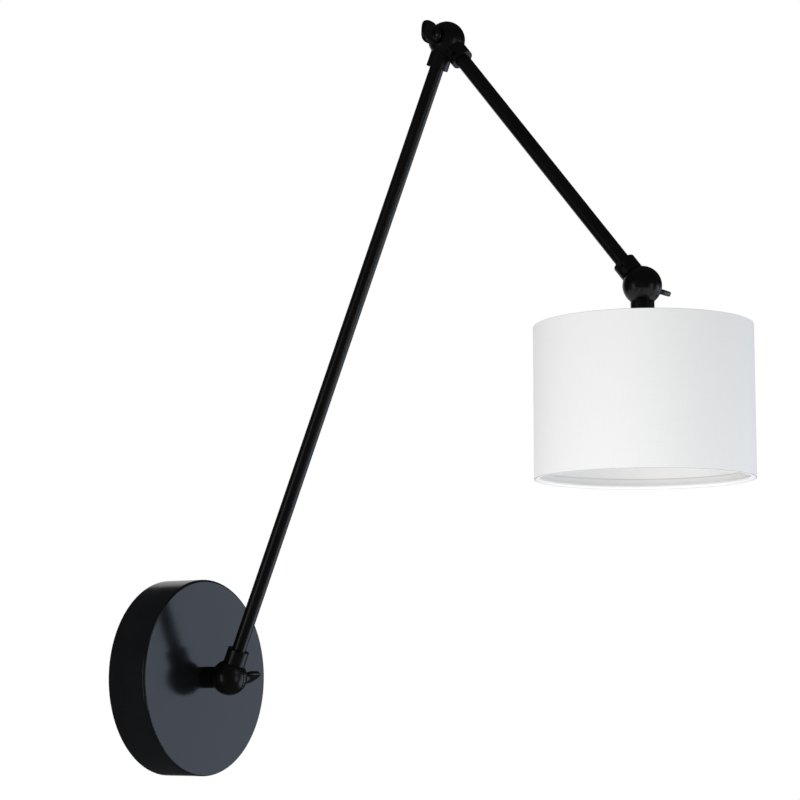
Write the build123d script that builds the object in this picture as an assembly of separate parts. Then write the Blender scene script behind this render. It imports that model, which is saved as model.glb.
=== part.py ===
from build123d import *
import math
import os

# Swing arm wall lamp. The wall is the plane y = 0, the lamp stands out towards -Y and +Z is up.
# The origin is the canopy's centre on the wall. Both arms, the head and every hinge lie about x = 0.
# All sizes are in millimetres and all angles in degrees. A lean is an angle from straight up,
# turning away from the wall: 0 is up, 90 straight out, 180 down and -90 back at the wall.

# ---- Canopy and wall bracket ----
canopy_diameter = 140.0
canopy_depth = 32.0
canopy_wall = 1.2
canopy_edge_radius = 1.6
bracket_width = 24.0
bracket_thickness = 2.0
bracket_ear_length = 16.0
bracket_ear_clearance = 1.3  # between an ear and the canopy's inner wall, on the ear's middle
bracket_cable_hole_radius = 8.0
wall_slot_spacing = 76.0
wall_slot_length = 14.0
wall_slot_width = 5.0
canopy_grub_radius = 2.0
canopy_grub_length = 7.0
canopy_grub_sink = 0.4  # how far a grub screw's outer end stands below the canopy's side
canopy_grub_from_wall = 8.8
canopy_grub_slot_width = 0.7
canopy_grub_slot_depth = 0.8

# ---- Arms ----
base_neck_past_ball = 7.7  # from the shoulder ball to the canopy's face
long_arm_length = 475.0  # between ball centres
long_arm_lean = 22.75
short_arm_length = 240.0
short_arm_lean = 141.7
tube_diameter = 10.0
tube_wall = 1.0

# ---- Knuckles ----
ball_diameter = 25.6
neck_share = 0.605  # a neck's share of the ball's diameter
neck_chamfer = 0.7
socket_depth = 7.5
socket_past_ball = 0.15  # from the other half's ball to the floor of a socket
cable_passage_wall = 0.3  # how much narrower the cable passage is than the tube's bore, on the radius
cavity_rim = 3.6  # what is left round the cavity at the serrated face
cavity_floor = 5.0  # from the cavity's floor to the washer's flat
boss_radius = 4.2
passage_start_room = 0.8  # from the boss to the start of the cable passage
split_gap = 0.3  # between the tooth tips of the two halves, with the screw just slackened
tooth_count = 40
tooth_depth = 0.85  # at the ball's rim
tooth_width_share = 0.88  # a groove's share of the tooth pitch
tooth_overrun = 1.0  # how far the groove cutters pass the ball's rim
hug_gap = 0.35  # between a neck and the other half's ball
fold_gap = 0.3  # between the two necks of the elbow, which is folded right down
spot_face_depth = 1.3  # how deep the washer's flat is cut into the ball

# ---- Thumbscrews ----
screw_radius = 2.5
screw_clearance = 0.08  # radial, in both halves
screw_end_wall = 3.8  # from the screw's tip to the ball's outside
screw_tip_room = 0.6
washer_diameter = 10.4
washer_thickness = 1.2
turning_gap = 0.1  # between the washer and the screw's hub
hub_diameter = 10.0
hub_end_diameter = 7.5
hub_length = 5.5
paddle_width = 15.6
paddle_length = 14.0
paddle_thickness = 3.4
paddle_corner = 4.5
paddle_root = 3.0  # how far the paddle is let into the hub
paddle_edge_radius = 0.8
shoulder_paddle_turn = 62.0  # from upright, about the hinge
elbow_paddle_turn = 4.0
head_paddle_turn = 110.0

# ---- Small hardware ----
nipple_bore_wall = 0.4  # how much narrower a nipple's bore is than the tube's, on the radius
thread_clearance = 0.05
nut_wall = 2.0  # across the flats
nut_thickness = 4.0
lock_washer_rim = 3.5
lock_washer_thickness = 1.0
lock_tooth_count = 12
lock_tooth_gap = 1.6
lock_tooth_depth = 1.0
nipple_past_nut = 2.5
neck_grub_radius = 2.0
neck_grub_length = 2.1
neck_grub_key = 2.0  # across the flats
neck_grub_key_depth = 1.4
neck_grub_inset = 3.9  # from the neck's open end
lead_radius = 2.6
lead_rest_gap = 0.03
lead_end_room = 0.2  # from the other half's ball to the end of a length of lead

# ---- Shade ----
shade_diameter = 142.0
shade_height = 99.0
shade_drop = 27.0  # from the head ball's centre to the shade's top rim
shade_thickness = 0.8
shade_ring_wire = 2.6
shade_ring_inset = 0.3  # from a rim of the fabric to its ring
ring_to_fabric_gap = 0.05
fitter_drop = 18.0  # from the shade's top rim to the fitter's middle ring
fitter_thickness = 1.5
fitter_ring_rim = 1.6  # how far its middle ring shows round the ring nut
fitter_spoke_room = 0.4  # from the ring nut to a spoke's inner end
fitter_knee_inset = 12.0  # from the top ring in to where a spoke turns up
fitter_knee_radius = 6.0
spoke_count = 3
spoke_first_angle = 90.0
spoke_wire = 2.4

# ---- Lampholder, small screw cap ----
holder_radius = 13.0
holder_wall = 1.6
holder_flange_rim = 3.0
holder_flange_thickness = 1.5
holder_below_fitter = 17.0
holder_cap_above_flange = 6.0
holder_cap_edge_radius = 3.0
core_into_body = 2.0
ring_nut_wall = 5.5
ring_nut_height = 5.0
ring_nut_flutes = 24
ring_nut_flute_radius = 1.0
core_gap = 0.6  # round the ceramic core, inside the holder's body
core_thickness = 7.0
lamp_thread_radius = 7.0
lamp_thread_length = 15.0
lamp_thread_wall = 0.5
core_pocket_radius = 5.5
core_pocket_depth = 2.4
core_wire_hole_offset = 7.6
contact_length = 8.8
contact_width = 4.0
contact_thickness = 0.5
contact_rise = 2.0
holder_cap_top = 2.2

# ---- Terminal block and earth ----
block_width = 27.0
block_height = 13.0
block_depth = 12.5
block_centre_z = 20.5
block_poles = 3
block_pitch = 8.6
block_hole_radius = 1.7
block_screw_radius = 1.5
block_screw_length = 3.0
block_screw_offset = 3.5  # from the middle of the block, up and down
block_screw_slot = 0.5
block_screw_sink = 0.6
block_edge_radius = 1.2
block_lane_depth = 5.6  # from the bracket to the middle of the wires' lanes
block_fixing_head_radius = 2.2
block_fixing_head_height = 1.6
screw_wall_gap = 0.3  # from the wall to a screw's tip in the bracket
earth_place_z = -19.0
earth_screw_radius = 2.0
earth_head_radius = 3.6
earth_head_height = 2.4
earth_cross_length = 5.0
earth_cross_width = 0.8
earth_cross_depth = 1.2
earth_washer_radius = 4.4
earth_washer_thickness = 0.9
wire_radius = 1.05
wire_bend_radius = 2.2
wire_core_offset = 1.4  # from the middle of the lead to a core
wire_core_angle = 30.0  # of the two upper cores, above level
wire_into_block = 3.0
wire_turn_room = 1.0  # how far a core runs past its lane before it turns up
wire_turn_rise = 4.0
earth_wire_room = 4.6  # from the earth screw's head to where its core turns down
earth_wire_gap = 0.3  # from the earth screw's head to the end of its core
canopy_lead_bare_start = 20.0  # from the wall to the end of the lead's sheath

# ---- Worked out from the sizes above ----
ball_radius = ball_diameter / 2
tube_radius = tube_diameter / 2
neck_diameter = ball_diameter * neck_share
neck_radius = neck_diameter / 2
socket_floor = ball_radius + hug_gap + socket_past_ball  # from the ball's centre
neck_reach = socket_floor + socket_depth  # from the ball's centre to the neck's open end
shoulder_stand_off = ball_radius + base_neck_past_ball  # from the canopy's face to the ball's centre
spot_face_offset = ball_radius - spot_face_depth  # from the ball's centre to the washer's flat
cavity_radius = ball_radius - cavity_rim
cavity_depth = spot_face_offset - cavity_floor
screw_end = ball_radius - screw_end_wall  # from the ball's centre to the screw's tip
neck_grub_place = neck_reach - neck_grub_inset  # from the ball's centre
socket_radius = tube_radius + thread_clearance
tube_bore_radius = tube_radius - tube_wall
cable_passage_radius = tube_bore_radius - cable_passage_wall
nipple_bore_radius = tube_bore_radius - nipple_bore_wall
nut_across_flats = tube_diameter + 2 * nut_wall
lock_washer_diameter = tube_diameter + 2 * lock_washer_rim
holder_flange_radius = holder_radius + holder_flange_rim
ring_nut_radius = holder_radius + ring_nut_wall
core_radius = holder_radius - holder_wall - core_gap
lead_end = ball_radius + hug_gap + lead_end_room
fitter_top = shade_drop + fitter_drop
holder_flange_top = fitter_top - holder_flange_thickness
holder_cap_end = holder_flange_top - holder_cap_above_flange
core_top = holder_cap_end + core_into_body
canopy_radius = canopy_diameter / 2
canopy_inner_radius = canopy_radius - canopy_wall
X = Vector(1, 0, 0)
UP = Vector(0, 0, 1)
BACK = -90.0
DOWN = 180.0
NEAR_SIDE = -1  # the half of a knuckle on the -X side
FAR_SIDE = 1


def lean_vector(lean):
    """Unit vector at a lean."""
    return Vector(0, -math.sin(math.radians(lean)), math.cos(math.radians(lean)))


shoulder = Vector(0, -canopy_depth - shoulder_stand_off, 0)
elbow = shoulder + lean_vector(long_arm_lean) * long_arm_length
head = elbow + lean_vector(short_arm_lean) * short_arm_length


# ---- Shapes that repeat ----
def rod(centre, direction, radius, start, end):
    """Round bar along a direction, between two distances from a point."""
    plane = Plane(origin=centre + direction * start, x_dir=X, z_dir=direction)
    return plane * Cylinder(radius, end - start, align=(Align.CENTER, Align.CENTER, Align.MIN))


def pipe(centre, direction, radius, bore, start, end):
    """Round tube along a direction."""
    return rod(centre, direction, radius, start, end) - rod(centre, direction, bore, start, end)


def cross_bar(centre, side, radius, start, end):
    """Round bar along the hinge, outwards on one side of a knuckle."""
    plane = Plane(origin=centre + X * (side * start), x_dir=UP, z_dir=X * side)
    return plane * Cylinder(radius, end - start, align=(Align.CENTER, Align.CENTER, Align.MIN))


def side_block(centre, side, start):
    """Block that holds all of one side of a knuckle, from a distance off its middle plane."""
    size = 4 * neck_reach
    middle = centre + X * (side * (start + size / 2))
    return Pos(*middle) * Box(size, size, size)


def tooth_cutters(centre, side):
    """Radial V grooves that leave the serrated face of a knuckle half."""
    rim = ball_radius + tooth_overrun
    hub = boss_radius
    plane_x = split_gap / 2
    half_width = math.pi * ball_diameter / tooth_count * tooth_width_share / 2

    def groove_end(radius):
        share = radius / ball_radius
        plane = Plane(origin=(0, 0, radius), x_dir=(1, 0, 0), z_dir=(0, 0, 1))
        mouth = -split_gap
        spread = half_width * (1 + split_gap / tooth_depth)
        outline = Polyline(
            (side * (plane_x + mouth * share), -spread * share),
            (side * (plane_x + mouth * share), spread * share),
            (side * (plane_x + tooth_depth * share), 0),
            close=True,
        )
        return plane * make_face(outline)

    groove = loft([groove_end(hub), groove_end(rim)], ruled=True)
    turns = [Rot(X=360 * i / tooth_count) * groove for i in range(tooth_count)]
    return [Pos(*centre) * turn for turn in turns]


def neck_end_cutter(centre, direction):
    """Ring that leaves a chamfer round a neck's open end."""
    plane = Plane(origin=centre + direction * neck_reach, x_dir=X, z_dir=direction)
    blank = Cylinder(2 * neck_radius, 2 * neck_chamfer)
    keep = Cone(
        neck_radius + neck_chamfer,
        neck_radius - neck_chamfer,
        2 * neck_chamfer,
    )
    return plane * (blank - keep)


def knuckle_half(centre, side, lean, reach=neck_reach, clamped=False, folded_on=None):
    """One casting of a knuckle: half a ball, and a neck that crosses over beside the other half.

    A clamped half has the flat and clear hole that the thumbscrew's washer needs; the other half
    has a blind threaded hole. folded_on is the lean of the other neck where the two meet.
    """
    direction = lean_vector(lean)
    own_side = side_block(centre, side, split_gap / 2)
    neck = rod(centre, direction, neck_radius, 0, reach)
    if reach == neck_reach:
        neck -= neck_end_cutter(centre, direction)
    crossing = neck - own_side - Pos(*centre) * Sphere(ball_radius + hug_gap)
    if folded_on is not None:
        crossing -= rod(centre, lean_vector(folded_on), neck_radius + fold_gap, 0, neck_reach)
    half = ((Pos(*centre) * Sphere(ball_radius) + neck) & own_side) + crossing
    half -= cross_bar(centre, side, cavity_radius, 0, cavity_depth) - cross_bar(
        centre, side, boss_radius, 0, cavity_depth
    )
    half -= rod(centre, direction, cable_passage_radius, boss_radius + passage_start_room, reach)
    half -= rod(centre, direction, socket_radius, socket_floor, reach)
    half -= tooth_cutters(centre, side)
    hole = screw_radius + screw_clearance
    if clamped:
        half -= cross_bar(centre, side, hole, 0, ball_diameter)
        half -= side_block(centre, side, spot_face_offset)
    else:
        half -= cross_bar(centre, side, hole, 0, screw_end + screw_tip_room)
    return half


def grub_hole_and_screw(half, centre, lean, side):
    """Cross hole in a neck, and the grub screw in it that bears on the tube."""
    start = centre + lean_vector(lean) * neck_grub_place
    outer = tube_radius + neck_grub_length
    hole = cross_bar(start, side, neck_grub_radius + thread_clearance, 0, neck_diameter)
    screw = cross_bar(start, side, neck_grub_radius, tube_radius, outer)
    key_plane = Plane(origin=start + X * (side * outer), x_dir=UP, z_dir=X * side)
    key = extrude(key_plane * RegularPolygon(neck_grub_key / 2, 6, major_radius=False), -neck_grub_key_depth)
    return half - hole, screw - key


def thumbscrew(centre, side, turn):
    """Clamping screw with a round hub and a flat paddle."""
    hub_start = spot_face_offset + washer_thickness + turning_gap
    hub_end = hub_start + hub_length
    shank = cross_bar(centre, -side, screw_radius, -hub_start, screw_end)
    plane = Plane(origin=centre + X * (side * (hub_start + hub_length / 2)), x_dir=UP, z_dir=X * side)
    hub = plane * Cone(hub_diameter / 2, hub_end_diameter / 2, hub_length)
    reach = hub_end + paddle_length - paddle_root
    middle = (hub_end - paddle_root + reach) / 2
    blade = Box(paddle_length + paddle_root, paddle_thickness, paddle_width)
    blade = fillet(blade.edges().filter_by(Axis.Y), paddle_corner)
    rims = blade.edges().group_by(Axis.Y)[0] + blade.edges().group_by(Axis.Y)[-1]
    blade = fillet(rims, paddle_edge_radius)
    blade = Pos(*(centre + X * (side * middle))) * (Rot(X=turn) * blade)
    return shank + hub + blade


def washer(centre, side):
    """Plain washer between a knuckle half's flat and the thumbscrew."""
    end = spot_face_offset + washer_thickness
    ring = cross_bar(centre, side, washer_diameter / 2, spot_face_offset, end)
    return ring - cross_bar(centre, side, screw_radius + screw_clearance, spot_face_offset, end)


def arm_tube(start, lean, length):
    """Tube between two knuckles, seated on the floors of their sockets."""
    return pipe(start, lean_vector(lean), tube_radius, tube_bore_radius, socket_floor, length - socket_floor)


def arm_lead(start, lean, length):
    """Round lead lying along the lower wall of an arm's tube."""
    direction = lean_vector(lean)
    drop = tube_bore_radius - lead_radius - lead_rest_gap
    side = lean_vector(lean + 90)
    if side.Z > 0:
        side = side * -1
    return rod(start + side * drop, direction, lead_radius, lead_end, length - lead_end)


def wire_along(points):
    """Insulated core along a few points, rounded where it turns."""
    path = FilletPolyline(*points, radius=wire_bend_radius)
    section = Plane(origin=path @ 0, z_dir=path % 0) * Circle(wire_radius)
    return sweep(section, path=path)


def ring_wire(centre, radius, wire):
    """Round wire bent to a ring about the vertical."""
    return Pos(*centre) * Torus(radius, wire / 2)


# ---- Sub-assemblies ----
def wall_parts():
    """Bracket, canopy and the screws between them."""
    ear_face = canopy_inner_radius - bracket_ear_clearance
    strip = Pos(0, -bracket_thickness / 2, 0) * Box(bracket_width, bracket_thickness, 2 * ear_face)
    ears = [
        Pos(0, -bracket_ear_length / 2, side * (ear_face - bracket_thickness / 2))
        * Box(bracket_width, bracket_ear_length, bracket_thickness)
        for side in (-1, 1)
    ]
    bracket = strip + ears
    wall = Plane(origin=(0, 0, 0), x_dir=UP, z_dir=(0, -1, 0))
    slot = extrude(wall * SlotOverall(wall_slot_length, wall_slot_width), bracket_thickness)
    bracket -= [Pos(0, 0, side * wall_slot_spacing / 2) * slot for side in (-1, 1)]
    out = lean_vector(90)
    origin = Vector(0, 0, 0)
    bracket -= rod(origin, out, bracket_cable_hole_radius, 0, bracket_thickness)
    bracket -= rod(UP * earth_place_z, out, earth_screw_radius + thread_clearance, 0, bracket_thickness)
    fixing_place = Vector(-block_pitch / 2, 0, block_centre_z)
    bracket -= rod(fixing_place, out, block_screw_radius + thread_clearance, 0, bracket_thickness)

    canopy = rod(origin, out, canopy_radius, 0, canopy_depth)
    face_edge = canopy.edges().filter_by(GeomType.CIRCLE).sort_by(Axis.Y)[0]
    canopy = fillet(face_edge, canopy_edge_radius)
    inside = rod(origin, out, canopy_inner_radius, 0, canopy_depth - canopy_wall)
    inner_edge = inside.edges().filter_by(GeomType.CIRCLE).sort_by(Axis.Y)[0]
    canopy -= fillet(inner_edge, canopy_edge_radius - canopy_wall)
    canopy -= rod(origin, out, socket_radius, 0, canopy_depth)

    grub_y = -canopy_grub_from_wall
    grubs = []
    for side in (-1, 1):
        middle = Vector(0, grub_y, 0)
        outwards = UP * side
        outer = canopy_radius - canopy_grub_sink
        grub = rod(middle, outwards, canopy_grub_radius, outer - canopy_grub_length, outer)
        slot_cut = Box(3 * canopy_grub_radius, canopy_grub_slot_width, 2 * canopy_grub_slot_depth)
        grubs.append(grub - Pos(0, grub_y, side * outer) * slot_cut)
        hole = rod(middle, outwards, canopy_grub_radius + thread_clearance, ear_face - 2 * bracket_thickness,
                   canopy_diameter)
        bracket -= hole
        canopy -= hole
    return {"wall_bracket": [bracket], "canopy": [canopy], "canopy_grub_screws": grubs}


def base_parts():
    """Fixed half of the shoulder and the nipple that holds it to the canopy."""
    in_from_face = canopy_depth - canopy_wall
    into_wall = lean_vector(BACK)
    face = Vector(0, -in_from_face, 0)
    half = knuckle_half(shoulder, NEAR_SIDE, BACK, reach=shoulder_stand_off)
    washer_end = lock_washer_thickness
    nut_end = washer_end + nut_thickness
    nipple_start = socket_floor - shoulder_stand_off - canopy_wall
    nipple = pipe(face, into_wall, tube_radius, nipple_bore_radius, nipple_start, nut_end + nipple_past_nut)
    lock_washer = pipe(face, into_wall, lock_washer_diameter / 2, socket_radius, 0, washer_end)
    lock_teeth = []
    for i in range(lock_tooth_count):
        notch = Box(lock_tooth_gap, 4 * lock_washer_thickness, 2 * lock_tooth_depth)
        place = Vector(0, -in_from_face + washer_end / 2, lock_washer_diameter / 2)
        lock_teeth.append(Rot(Y=360 * i / lock_tooth_count) * (Pos(*place) * notch))
    lock_washer -= lock_teeth
    nut_plane = Plane(origin=face + into_wall * washer_end, x_dir=X, z_dir=into_wall)
    nut_body = extrude(nut_plane * RegularPolygon(nut_across_flats / 2, 6, major_radius=False), nut_thickness)
    nut = nut_body - rod(face, into_wall, socket_radius, 0, nut_end)
    return {
        "base_knuckle_half": [half],
        "base_nipple": [nipple],
        "base_nipple_nut": [nut],
        "base_lock_washer": [lock_washer],
    }


def wiring_parts():
    """Terminal block, earth screw, and the lead and its three cores inside the canopy."""
    out = lean_vector(90)
    front = bracket_thickness + block_depth
    lane_y = -bracket_thickness - block_lane_depth
    block = Pos(0, -(bracket_thickness + front) / 2, block_centre_z) * Box(block_width, block_depth, block_height)
    block = fillet(block.edges().filter_by(Axis.Z), block_edge_radius)
    poles = [(i - (block_poles - 1) / 2) * block_pitch for i in range(block_poles)]
    screws = []
    for x in poles:
        lane = Vector(x, lane_y, block_centre_z)
        block -= rod(lane, UP, block_hole_radius, -block_height, block_height)
        for side in (-1, 1):
            place = Vector(x, 0, block_centre_z + side * block_screw_offset)
            block -= rod(place, out, block_screw_radius + thread_clearance, -lane_y, front)
            tip = front - block_screw_sink - block_screw_length
            screw = rod(place, out, block_screw_radius, tip, front - block_screw_sink)
            slot_cut = Box(4 * block_screw_radius, 2 * block_screw_sink, block_screw_slot)
            screws.append(screw - Pos(x, block_screw_sink - front, place.Z) * slot_cut)

    fixing_place = Vector((poles[0] + poles[1]) / 2, 0, block_centre_z)
    head_start = front - block_fixing_head_height - block_screw_sink
    fixing = rod(fixing_place, out, block_screw_radius, screw_wall_gap, head_start)
    fixing += rod(fixing_place, out, block_fixing_head_radius, head_start, front - block_screw_sink)
    block -= rod(fixing_place, out, block_screw_radius + thread_clearance, 0, front)
    block -= rod(fixing_place, out, block_fixing_head_radius + thread_clearance, head_start, front)

    earth_place = UP * earth_place_z
    cup_end = bracket_thickness + earth_washer_thickness
    head_end = cup_end + earth_head_height
    earth_washer = pipe(earth_place, out, earth_washer_radius, earth_screw_radius + thread_clearance,
                        bracket_thickness, cup_end)
    earth_screw = rod(earth_place, out, earth_screw_radius, screw_wall_gap, cup_end)
    earth_screw += rod(earth_place, out, earth_head_radius, cup_end, head_end)
    cross = Box(earth_cross_length, 2 * earth_cross_depth, earth_cross_width)
    cross += Box(earth_cross_width, 2 * earth_cross_depth, earth_cross_length)
    earth_screw -= Pos(0, -head_end, earth_place_z) * cross

    lead_z = lead_radius + lead_rest_gap - nipple_bore_radius
    lead_outer_end = canopy_depth + shoulder_stand_off - lead_end
    lead = rod(UP * lead_z, out, lead_radius, canopy_lead_bare_start, lead_outer_end)
    wire_end_z = block_centre_z - block_height / 2 + wire_into_block
    core_z = lead_z + wire_core_offset / 2
    wires = {}
    for name, x in (("live_wire", poles[0]), ("neutral_wire", poles[-1])):
        core_x = math.copysign(wire_core_offset * math.cos(math.radians(wire_core_angle)), x)
        wires[name] = wire_along([
            Vector(core_x, -canopy_lead_bare_start, core_z),
            Vector(core_x, lane_y - wire_turn_room, core_z),
            Vector(x, lane_y, core_z + wire_turn_rise),
            Vector(x, lane_y, wire_end_z),
        ])
    earth_z = lead_z - wire_core_offset
    wires["earth_wire"] = wire_along([
        Vector(0, -canopy_lead_bare_start, earth_z),
        Vector(0, -head_end - earth_wire_room, earth_z),
        Vector(0, -cup_end, earth_place_z + earth_head_radius + wire_radius + earth_wire_gap),
    ])
    return {
        "terminal_block": [block],
        "terminal_block_screws": screws,
        "terminal_block_fixing": [fixing],
        "earth_cup_washer": [earth_washer],
        "earth_screw": [earth_screw],
        "canopy_lead": [lead],
        **{name: [wire] for name, wire in wires.items()},
    }


def long_arm_parts():
    """Long arm: far half of the shoulder, tube, near half of the elbow."""
    back_lean = long_arm_lean + 180
    lower = knuckle_half(shoulder, FAR_SIDE, long_arm_lean, clamped=True)
    upper = knuckle_half(elbow, NEAR_SIDE, back_lean, clamped=True, folded_on=short_arm_lean)
    lower, lower_grub = grub_hole_and_screw(lower, shoulder, long_arm_lean, FAR_SIDE)
    upper, upper_grub = grub_hole_and_screw(upper, elbow, back_lean, FAR_SIDE)
    return {
        "long_arm_lower_half": [lower],
        "long_arm_tube": [arm_tube(shoulder, long_arm_lean, long_arm_length)],
        "long_arm_upper_half": [upper],
        "long_arm_grub_screws": [lower_grub, upper_grub],
        "long_arm_lead": [arm_lead(shoulder, long_arm_lean, long_arm_length)],
        "shoulder_washer": [washer(shoulder, FAR_SIDE)],
        "elbow_washer": [washer(elbow, NEAR_SIDE)],
    }


def short_arm_parts():
    """Short arm: far half of the elbow, tube, far half of the head joint."""
    back_lean = short_arm_lean + 180
    upper = knuckle_half(elbow, FAR_SIDE, short_arm_lean, folded_on=long_arm_lean + 180)
    lower = knuckle_half(head, FAR_SIDE, back_lean, clamped=True)
    upper, upper_grub = grub_hole_and_screw(upper, elbow, short_arm_lean, NEAR_SIDE)
    lower, lower_grub = grub_hole_and_screw(lower, head, back_lean, NEAR_SIDE)
    return {
        "short_arm_upper_half": [upper],
        "short_arm_tube": [arm_tube(elbow, short_arm_lean, short_arm_length)],
        "short_arm_lower_half": [lower],
        "short_arm_grub_screws": [upper_grub, lower_grub],
        "short_arm_lead": [arm_lead(elbow, short_arm_lean, short_arm_length)],
        "head_washer": [washer(head, FAR_SIDE)],
    }


def lampholder_parts():
    """Lampholder that hangs from the head's nipple; distances run down from the head ball."""
    down = lean_vector(DOWN)
    inner = holder_radius - holder_wall
    cap = rod(head, down, holder_radius, neck_reach, holder_cap_end)
    top_edge = cap.edges().filter_by(GeomType.CIRCLE).sort_by(Axis.Z)[-1]
    cap = fillet(top_edge, holder_cap_edge_radius)
    cap -= rod(head, down, inner, neck_reach + holder_cap_top, holder_cap_end)
    cap -= rod(head, down, socket_radius, neck_reach, holder_cap_end)
    body = pipe(head, down, holder_radius, inner, holder_cap_end, fitter_top + holder_below_fitter)
    body += pipe(head, down, holder_flange_radius, inner, holder_flange_top, fitter_top)
    core_end = core_top + core_thickness
    core = rod(head, down, core_radius, core_top, core_end)
    for side in (-1, 1):
        hole_axis = head + X * (side * core_wire_hole_offset)
        core -= rod(hole_axis, down, block_hole_radius, core_top, core_end)
    thread = pipe(head, down, lamp_thread_radius + lamp_thread_wall, lamp_thread_radius, core_end,
                  core_end + lamp_thread_length)
    pocket_floor = core_end - core_pocket_depth
    core -= rod(head, down, core_pocket_radius, pocket_floor, core_end)
    tongue_top = head + down * pocket_floor
    foot = Box(contact_length, contact_width, contact_thickness)
    stem = Box(contact_thickness, contact_width, contact_rise)
    tip = Box(contact_width, contact_width, contact_thickness)
    contact = Pos(*(tongue_top + down * (contact_thickness / 2))) * foot
    contact += Pos(*(tongue_top + down * (contact_rise / 2))) * stem
    contact += Pos(*(tongue_top + down * (contact_rise - contact_thickness / 2))) * tip
    ring_start = fitter_top + fitter_thickness
    ring_nut = rod(head, down, ring_nut_radius, ring_start, ring_start + ring_nut_height)
    ring_nut -= rod(head, down, holder_radius + thread_clearance, ring_start, ring_start + ring_nut_height)
    flutes = []
    for i in range(ring_nut_flutes):
        angle = math.radians(360 * i / ring_nut_flutes)
        place = head + Vector(math.cos(angle), math.sin(angle), 0) * ring_nut_radius
        flutes.append(rod(place, down, ring_nut_flute_radius, ring_start, ring_start + ring_nut_height))
    ring_nut -= flutes
    return {
        "lampholder_cap": [cap],
        "lampholder_body": [body],
        "lampholder_core": [core],
        "lampholder_thread": [thread],
        "lampholder_contact": [contact],
        "lampholder_ring_nut": [ring_nut],
    }


def head_parts():
    """Near half of the head joint, its nipple and its lead."""
    down = lean_vector(DOWN)
    nipple_end = neck_reach + holder_cap_top + nipple_past_nut
    nipple = pipe(head, down, tube_radius, nipple_bore_radius, socket_floor, nipple_end)
    half = knuckle_half(head, NEAR_SIDE, DOWN)
    lead_middle = head + Vector(0, nipple_bore_radius - lead_radius - lead_rest_gap, 0)
    return {
        "head_knuckle_half": [half],
        "head_nipple": [nipple],
        "head_lead": [rod(lead_middle, down, lead_radius, lead_end, core_top)],
    }


def shade_parts():
    """Fabric drum, its bottom ring, and the fitter that carries it on the lampholder."""
    down = lean_vector(DOWN)
    bottom = shade_drop + shade_height
    inner = shade_diameter / 2 - shade_thickness
    panel = pipe(head, down, shade_diameter / 2, inner, shade_drop, bottom)
    ring_radius = inner - ring_to_fabric_gap - shade_ring_wire / 2
    ring_depth = shade_ring_inset + shade_ring_wire / 2
    bottom_ring = ring_wire(head + down * (bottom - ring_depth), ring_radius, shade_ring_wire)
    top_ring_drop = shade_drop + ring_depth
    fitter = ring_wire(head + down * top_ring_drop, ring_radius, shade_ring_wire)
    fitter += pipe(head, down, ring_nut_radius + fitter_ring_rim, holder_radius + thread_clearance,
                   fitter_top, fitter_top + fitter_thickness)
    spoke_drop = fitter_top + fitter_thickness / 2
    spoke_start = ring_nut_radius + fitter_spoke_room
    for i in range(spoke_count):
        angle = math.radians(spoke_first_angle + 360 * i / spoke_count)
        outward = Vector(math.cos(angle), math.sin(angle), 0)
        points = [
            head + outward * spoke_start + down * spoke_drop,
            head + outward * (ring_radius - fitter_knee_inset) + down * spoke_drop,
            head + outward * ring_radius + down * top_ring_drop,
        ]
        path = FilletPolyline(*points, radius=fitter_knee_radius)
        section = Plane(origin=path @ 0, z_dir=path % 0) * Circle(spoke_wire / 2)
        fitter += sweep(section, path=path)
    return {"shade_panel": [panel], "shade_bottom_ring": [bottom_ring], "shade_fitter": [fitter]}


def thumbscrew_parts():
    """The three thumbscrews."""
    return {
        "shoulder_thumbscrew": [thumbscrew(shoulder, FAR_SIDE, shoulder_paddle_turn)],
        "elbow_thumbscrew": [thumbscrew(elbow, NEAR_SIDE, elbow_paddle_turn)],
        "head_thumbscrew": [thumbscrew(head, FAR_SIDE, head_paddle_turn)],
    }


def solids_of(shapes):
    """Every solid in a list of shapes, as one flat list."""
    return [solid for shape in shapes for solid in shape.solids()]


os.makedirs("parts", exist_ok=True)
sections = [
    wall_parts,
    base_parts,
    wiring_parts,
    long_arm_parts,
    short_arm_parts,
    head_parts,
    lampholder_parts,
    shade_parts,
    thumbscrew_parts,
]
for section in sections:
    for node, shapes in section().items():
        solids = solids_of(shapes)
        export_step(solids[0] if len(solids) == 1 else Compound(children=solids), f"parts/{node}.step")
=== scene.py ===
"""Looks for a swing arm wall lamp: its finishes, its fabric shade, its cast thumbscrews and its lampholder.

Everything is in metres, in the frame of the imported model: the wall is y = 0, +Z is up and the lamp stands out
towards -Y. Sizes given in millimetres are multiplied by MM.
"""

import logging
import math
from dataclasses import dataclass
from enum import Enum
from typing import Any, Iterable, Optional, Sequence, Union

import bmesh
import bpy
from mathutils import Matrix, Vector


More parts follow.
